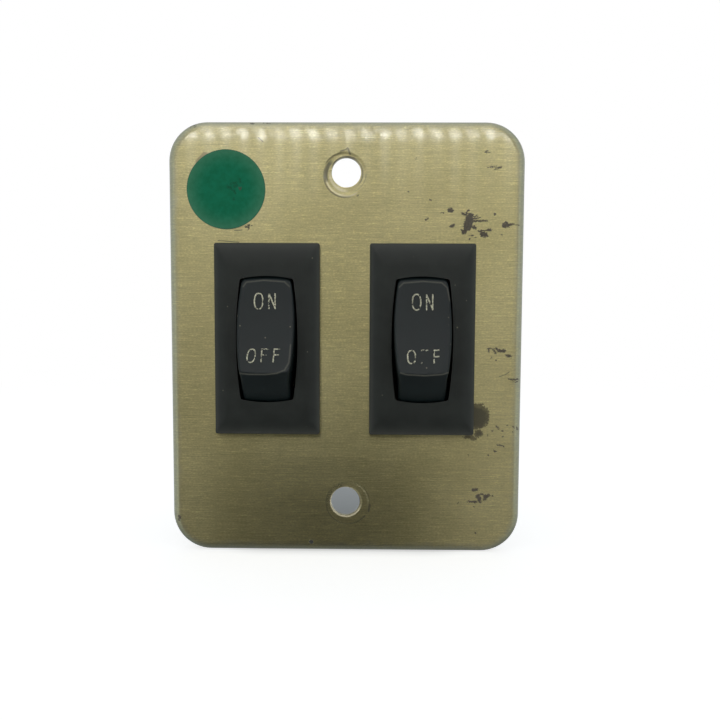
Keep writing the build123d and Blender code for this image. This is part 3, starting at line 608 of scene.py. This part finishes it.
def lattice(seed):
    """Smooth value noise over the plane, seeded."""
    rnd = random.Random(seed)
    table = np.array([[rnd.random() for _ in range(64)] for _ in range(64)])

    def f(x, y):
        ix, iy = np.floor(x).astype(int), np.floor(y).astype(int)
        fx, fy = x - ix, y - iy
        fx, fy = fx * fx * (3 - 2 * fx), fy * fy * (3 - 2 * fy)
        v00, v01 = table[iy % 64, ix % 64], table[iy % 64, (ix + 1) % 64]
        v10, v11 = table[(iy + 1) % 64, ix % 64], table[(iy + 1) % 64, (ix + 1) % 64]
        return (v00 * (1 - fx) + v01 * fx) * (1 - fy) + (v10 * (1 - fx) + v11 * fx) * fy

    return f


def legend(name, side, glyphs, half, gone, seed, lift=0.035):
    """Thin print on a rocker's face: glyph centre lines, stroke half-width, worn-away places."""
    cx = ROCKER_X[side]
    n1, n2 = lattice(seed), lattice(seed + 7)
    box = [9e9, 9e9, -9e9, -9e9]
    for (x0, y0, x1, y1), _ in glyphs:
        box = [min(box[0], x0), min(box[1], y0), max(box[2], x1), max(box[3], y1)]
    step = 0.032
    x0, y0 = box[0] - 0.3, box[1] - 0.3
    nx, ny = int((box[2] - box[0] + 0.6) / step) + 1, int((box[3] - box[1] + 0.6) / step) + 1
    gx, gy = np.meshgrid(x0 + np.arange(nx) * step, y0 + np.arange(ny) * step)
    d = np.full(gx.shape, 9e9)
    for _, fs in glyphs:
        for f in fs:
            d = np.minimum(d, f(gx, gy))
    d = d - half - 0.07 * (n1(gx * 8, gy * 8) - 0.5) - 0.05 * (n2(gx * 15, gy * 15) - 0.5)
    wear = 0.25 * (n1(gx * 3.1 + 5, gy * 3.1) + 0.8 * n2(gx * 8.5, gy * 8.5) + 0.6 * n1(gx * 17, gy * 17) - 1.2) - 0.070
    for wx, wy, wr, depth in gone:
        k = 1 - np.hypot(gx - wx, gy - wy) / wr
        wear = wear + depth * np.clip(1.6 * k, 0, 1)
    grid = np.maximum(d, wear).tolist()
    verts, index, faces = [], {}, []

    def vert(x, y):
        key = (round(x, 5), round(y, 5))
        if key not in index:
            index[key] = len(verts)
            verts.append((x, y))
        return index[key]

    for j in range(ny - 1):
        for i in range(nx - 1):
            c = [(i, j), (i + 1, j), (i + 1, j + 1), (i, j + 1)]
            v = [grid[b][a_] for a_, b in c]
            if min(v) >= 0:
                continue
            poly = []
            for k in range(4):
                (ia, ja), (ib, jb) = c[k], c[(k + 1) % 4]
                va, vb = v[k], v[(k + 1) % 4]
                if va < 0:
                    poly.append(vert(x0 + ia * step, y0 + ja * step))
                if (va < 0) != (vb < 0):
                    t = va / (va - vb)
                    t = min(0.98, max(0.02, t))
                    poly.append(vert(x0 + (ia + (ib - ia) * t) * step, y0 + (ja + (jb - ja) * t) * step))
            if len(poly) > 2:
                faces.append(poly)
    # close it: a lower copy and walls round the border
    edges = {}
    for f in faces:
        for k in range(len(f)):
            e = (f[k], f[(k + 1) % len(f)])
            edges[e] = edges.get(e, 0) + 1
    border = [e for e in edges if (e[1], e[0]) not in edges]
    n = len(verts)
    solid = [rocker_point(cx, x, y, face_h(y) + lift) * MM for x, y in verts]
    solid += [rocker_point(cx, x, y, face_h(y) - 0.02) * MM for x, y in verts]
    all_faces = [list(f) for f in faces] + [[i + n for i in reversed(f)] for f in faces]
    all_faces += [[b, a_, a_ + n, b + n] for a_, b in border]
    me = bpy.data.meshes.new(name)
    me.from_pydata([tuple(v) for v in solid], [], all_faces)
    me.validate()
    me.update()
    o = bpy.data.objects.new(name, me)
    scene.collection.objects.link(o)
    me.materials.append(ink_mat)
    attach(o, side + "_rocker_body")
    return o


def letter_set(side, spec):
    """Glyph centre lines from points of the 720 frame."""
    cx = ROCKER_X[side]
    out = []
    for kind, *a_ in spec:
        if kind == "ring":
            u, v, ru, rv, lean = a_
            c = on_face(cx, u, v)
            rx = (on_face(cx, u + ru, v)[0] - on_face(cx, u - ru, v)[0]) / 2
            ry = (on_face(cx, u, v - rv)[1] - on_face(cx, u, v + rv)[1]) / 2
            out.append(((c[0] - rx, c[1] - ry, c[0] + rx, c[1] + ry), ring(c[0], c[1], rx, ry, lean)))
        else:
            pts = [on_face(cx, *q) for q in a_]
            fs = [seg(*pts[k], *pts[k + 1]) for k in range(0, len(pts) - 1, 2)]
            xs, ys = [q[0] for q in pts], [q[1] for q in pts]
            out.append(((min(xs), min(ys), max(xs), max(ys)), fs))
    return out


def worn_at(side, *items):
    cx = ROCKER_X[side]
    return [(*on_face(cx, u, v), r * 0.18, depth) for u, v, r, depth in items]


INK = 0.110
legend("left_legend_on", "left", letter_set("left", [
    ("ring", 258.1, 300.7, 4.2, 7.8, 0.0),
    ("seg", (268.4, 307.9), (268.4, 293.0), (268.5, 293.0), (274.5, 307.6), (274.6, 307.9), (274.6, 293.4)),
]), INK, worn_at("left", (268.2, 298.6, 2.6, 0.13), (268.6, 302.6, 2.2, 0.11), (262.3, 302.4, 1.5, 0.07), (274.4, 296.6, 1.6, 0.03)), 11)
legend("left_legend_off", "left", letter_set("left", [
    ("ring", 250.7, 355.2, 3.95, 6.6, 0.10),
    ("seg", (260.4, 361.4), (261.3, 348.7), (261.3, 348.7), (267.6, 348.7), (261.0, 354.5), (265.6, 354.4)),
    ("seg", (272.5, 361.3), (273.9, 348.6), (273.9, 348.6), (279.0, 348.6), (273.4, 354.4), (277.8, 354.4)),
]), INK, worn_at("left", (260.6, 356.6, 2.4, 0.14), (265.2, 354.6, 2.0, 0.10), (262.8, 350.8, 1.6, 0.06), (260.2, 360.8, 1.2, 0.06),
                 (265.6, 348.6, 2.6, 0.03)), 23)
legend("right_legend_on", "right", letter_set("right", [
    ("ring", 416.1, 301.7, 4.2, 7.9, 0.0),
    ("seg", (426.1, 309.3), (426.2, 294.4), (426.2, 294.4), (432.2, 309.0), (432.2, 309.3), (432.2, 294.4)),
]), INK, worn_at("right", (418.6, 307.6, 2.3, 0.15), (419.8, 304.0, 1.2, 0.06), (419.6, 299.0, 1.1, 0.05), (430.6, 303.2, 1.8, 0.12),
                 (425.6, 301.9, 1.0, 0.10), (431.6, 302.0, 1.2, 0.06)), 37)
legend("right_legend_off", "right", letter_set("right", [
    ("ring", 411.1, 356.6, 3.95, 6.5, 0.0),
    ("seg", (421.2, 362.7), (421.4, 349.8), (421.4, 349.8), (427.5, 349.8), (421.4, 356.0), (426.0, 356.0)),
    ("seg", (433.6, 362.7), (433.7, 349.8), (433.7, 349.8), (438.4, 349.8), (433.7, 356.1), (438.4, 356.1)),
]), INK, worn_at("right", (412.6, 363.2, 1.7, 0.16), (414.9, 359.2, 1.5, 0.07), (421.4, 356.4, 5.0, 0.24), (425.6, 356.0, 3.0, 0.24), (421.6, 351.0, 2.4, 0.16), (424.4, 349.9, 3.4, 0.085), (420.6, 360.8, 2.8, 0.20),
                 (434.2, 351.4, 1.0, 0.03), (433.9, 358.2, 1.3, 0.10), (437.0, 352.6, 1.0, 0.04)), 41)

# ==================================================================== stage
# pale floor just below the plate, running out to a plain pale ground
floor_z = -0.0398
verts, faces = [(0, 0, floor_z)], []
rings, spokes = 12, 64
for i in range(1, rings + 1):
    r = 0.02 * (1.62 ** i)
    for k in range(spokes):
        t = 2 * math.pi * k / spokes
        verts.append((r * math.cos(t), r * math.sin(t), floor_z))
for k in range(spokes):
    faces.append((0, 1 + k, 1 + (k + 1) % spokes))
for i in range(rings - 1):
    for k in range(spokes):
        a0, b0 = 1 + i * spokes + k, 1 + i * spokes + (k + 1) % spokes
        faces.append((a0, a0 + spokes, b0 + spokes, b0))
me = bpy.data.meshes.new("floor")
me.from_pydata(verts, [], faces)
me.update()
floor = bpy.data.objects.new("floor", me)
scene.collection.objects.link(floor)
floor.visible_glossy = False

m = bpy.data.materials.new("pale_floor")
m.use_nodes = True
m.node_tree.nodes.clear()
g = Graph(m.node_tree)
out = g.new("ShaderNodeOutputMaterial")
diff = g.new("ShaderNodeBsdfPrincipled")
diff.inputs["Base Color"].default_value = (0.55, 0.55, 0.55, 1)
diff.inputs["Roughness"].default_value = 0.9
diff.inputs["Emission Color"].default_value = (1, 1, 1, 1)
# less light of its own close round the part, where its shadow lies
emit = g.new("ShaderNodeEmission")
emit.inputs[0].default_value = (1, 1, 1, 1)
emit.inputs[1].default_value = 1.0
P = g.place()
x_, y_, z_ = g.xyz(P)
far = g.step(g.vec("LENGTH", g.join(x_, y_)), 70, 330)
foot = g.vec("LENGTH", g.join(g.hi(g.sub(g.math("ABSOLUTE", x_), 14.0), 0.0), g.hi(g.sub(g.math("ABSOLUTE", g.sub(y_, 30.0)), 18.0), 0.0)))
g.put(diff.inputs["Emission Strength"], g.step(foot, 2.0, 16.0, 0.0, 0.74))
mixer = g.new("ShaderNodeMixShader")
g.put(mixer.inputs[0], far)
m.node_tree.links.new(diff.outputs[0], mixer.inputs[1])
m.node_tree.links.new(emit.outputs[0], mixer.inputs[2])
m.node_tree.links.new(mixer.outputs[0], out.inputs["Surface"])
floor.data.materials.append(m)

# ==================================================================== light
TALL = 3.5
world = bpy.data.worlds.new("studio")
scene.world = world
world.use_nodes = True
world.node_tree.nodes.clear()
g = Graph(world.node_tree)
out = g.new("ShaderNodeOutputWorld")
tc = g.new("ShaderNodeTexCoord")
dx, dy, dz = g.xyz(tc.outputs["Generated"])
ramp = g.new("ShaderNodeValToRGB")
ramp.color_ramp.interpolation = "B_SPLINE"
stops = [(-1.0, 0.13), (-0.62, 0.055), (-0.32, 0.05), (-0.12, 0.081), (0.02, 0.091), (0.16, 0.095), (0.42, 0.19), (1.0, 0.42)]
while len(ramp.color_ramp.elements) < len(stops):
    ramp.color_ramp.elements.new(0.5)
for e, (z, val) in zip(ramp.color_ramp.elements, stops):
    e.position = (z + 1) / 2
    e.color = (val, val * 1.0, val * 0.99, 1)
g.put(ramp.inputs[0], g.math("MULTIPLY_ADD", dz, 0.5, 0.5))
aside = g.hi(g.step(dy, -0.80, -0.1), g.step(g.math("ABSOLUTE", dx), 0.30, 0.62))
around = g.tint(g.step(dz, -0.7, -0.05), (0.16, 0.18, 0.19), (0.45, 0.49, 0.51))
ahead = g.hi(g.mul(dy, -1.0), 0.3)
slant = g.math("DIVIDE", dx, ahead)
wider = g.add(1.0, g.add(g.mul(g.step(slant, -0.04, -0.20, 0.0, 1.05), g.step(dz, -0.16, 0.0)), g.mul(g.step(slant, 0.06, 0.20), g.step(dz, 0.0, -0.25, 0.4, 2.3))))
lum = g.tint(aside, g.vec("SCALE", ramp.outputs[0], scale=wider), around)
# tall soft streaks of light below the lamps, as the brushed plate mirrors them
x_lamp, pitch = on_plate(192, 130.5)[0], (on_plate(368.5, 130.5)[0] - on_plate(192, 130.5)[0]) / 10
xm = g.math("MULTIPLY_ADD", slant, -CAM_C.y, CAM_C.x)
zm = g.math("MULTIPLY_ADD", g.math("DIVIDE", dz, ahead), -CAM_C.y, CAM_C.z)
turn = g.math("MULTIPLY", g.sub(xm, x_lamp - 0.35), 2 * math.pi / pitch)
comb = g.math("POWER", g.math("MULTIPLY_ADD", g.math("COSINE", turn), 0.5, 0.5), 2.0)
vary = g.noise(g.join(g.math("DIVIDE", xm, pitch), g.mul(zm, 0.05)), 0.9, 2.0, 0.6)
drop = g.line(zm, on_plate(360, 268)[1], on_plate(360, 138)[1])
drop = g.mul(g.mul(drop, drop), g.step(zm, on_plate(360, 122)[1], on_plate(360, 138)[1]))
tall = g.mul(g.mul(g.mul(comb, drop), g.step(vary, 0.25, 0.75, 0.5, 1.4)), g.step(dy, -0.4, -0.7))
lum = g.vec("ADD", lum, g.vec("SCALE", (1.0, 0.98, 0.92), scale=g.mul(tall, TALL)))
bg_light = g.new("ShaderNodeBackground")
g.put(bg_light.inputs[0], lum)
bg_light.inputs[1].default_value = 1.0
bg_cam = g.new("ShaderNodeBackground")
bg_cam.inputs[0].default_value = (1, 1, 1, 1)
bg_cam.inputs[1].default_value = 1.0
lp = g.new("ShaderNodeLightPath")
mixer = g.new("ShaderNodeMixShader")
g.put(mixer.inputs[0], lp.outputs["Is Camera Ray"])
world.node_tree.links.new(bg_light.outputs[0], mixer.inputs[1])
world.node_tree.links.new(bg_cam.outputs[0], mixer.inputs[2])
world.node_tree.links.new(mixer.outputs[0], out.inputs["Surface"])


def area(name, loc, aim, size, size_y, power, color=(1, 1, 1)):
    d = bpy.data.lights.new(name, "AREA")
    d.shape = "RECTANGLE"
    d.size, d.size_y = size, size_y
    d.energy = power
    d.color = color
    o = bpy.data.objects.new(name, d)
    scene.collection.objects.link(o)
    o.location = loc
    o.rotation_euler = (Vector(aim) - Vector(loc)).to_track_quat("-Z", "Y").to_euler()
    o.visible_camera = False
    return o


area("key", (0.0, -0.35, 0.70), (0, 0, 0), 1.6, 0.8, 0.4)
# two thin strips, each with a small flag that shades the plate's lower part
area("strip_0", (0.0, -0.78, 0.45), (0, 0, 0), 0.6, 0.001, 0.40)
area("strip_1", (0.0, -0.728, 0.529), (0, 0, 0), 0.6, 0.001, 0.30)
# rows of small lamps above the camera, whose reflections show near the plate's top
for row, (py_row, u0, far_m) in enumerate(((130.5, 187.6, 2.6), (135.2, 191.6, 1.0))):
    for k in range(-4, 23):
        u = u0 + k * 17.65
        x, z = on_plate(u, py_row)
        d = Vector((x - CAM_C.x, CAM_C.y, z - CAM_C.z)) / -CAM_C.y
        pos = Vector((x, 0, z)) * MM + d * far_m
        w = (0.15 + far_m) / 1.15
        uneven = (1.22, 0.82, 1.08, 0.74, 1.16, 0.94, 0.80)[(3 * k + 2 * row) % 7]
        area(f"lamp_{row}_{k + 4}", pos, (0, 0, 0), 0.0138 * w * (1.9 - 0.9 * uneven), 0.0035 * w, 0.0034 * w * w * uneven)

# dark card just behind the camera
pts = []
for cx_, cz_, t0 in ((17.0, 5.0, 0), (-33.0, -15.0, 90), (-33.0, -130.0, 180), (17.0, -130.0, 270)):
    r_ = 28.0 if t0 == 90 else 8.0
    for k in range(9):
        t = math.radians(t0 + k * 90 / 8)
        pts.append(((cx_ + r_ * math.cos(t)) * MM, -0.158, (cz_ + r_ * math.sin(t)) * MM))
me = bpy.data.meshes.new("card")
me.from_pydata(pts, [], [list(range(len(pts)))])
me.update()
cards = [bpy.data.objects.new("card", me)]
for name, y_f, (y_l, z_l), outline in (
    ("flag_0", -0.507, (-0.78, 0.45), ((-28.5, -60), (10, -60), (9.5, -30), (8, -26), (5, -23.6), (-1, -22.4), (-14, -22.0), (-22, -23.2), (-26.5, -26), (-28.5, -31))),
    ("flag_1", -0.473, (-0.728, 0.529), ((-28.5, -60), (12, -60), (12, -36), (9, -32.5), (4, -30.5), (-5, -29.2), (-25, -29.3), (-28.5, -31))),
):
    t = y_f / y_l
    pts = [((x + (x - CAM_C.x) * y_f / (CAM_C.y * MM)) * MM, y_f, t * z_l + (1 - t) * z * MM) for x, z in outline]
    me = bpy.data.meshes.new(name)
    me.from_pydata(pts, [], [list(range(len(pts)))])
    me.update()
    cards.append(bpy.data.objects.new(name, me))
m = bpy.data.materials.new("dark_card")
m.use_nodes = True
m.node_tree.nodes["Principled BSDF"].inputs["Base Color"].default_value = (0.02, 0.02, 0.02, 1)
for card in cards:
    scene.collection.objects.link(card)
    card.visible_camera = False
    card.data.materials.append(m)

scene.view_settings.view_transform = "Standard"
scene.view_settings.look = "None"
scene.view_settings.exposure = 0.0
scene.view_settings.gamma = 1.0
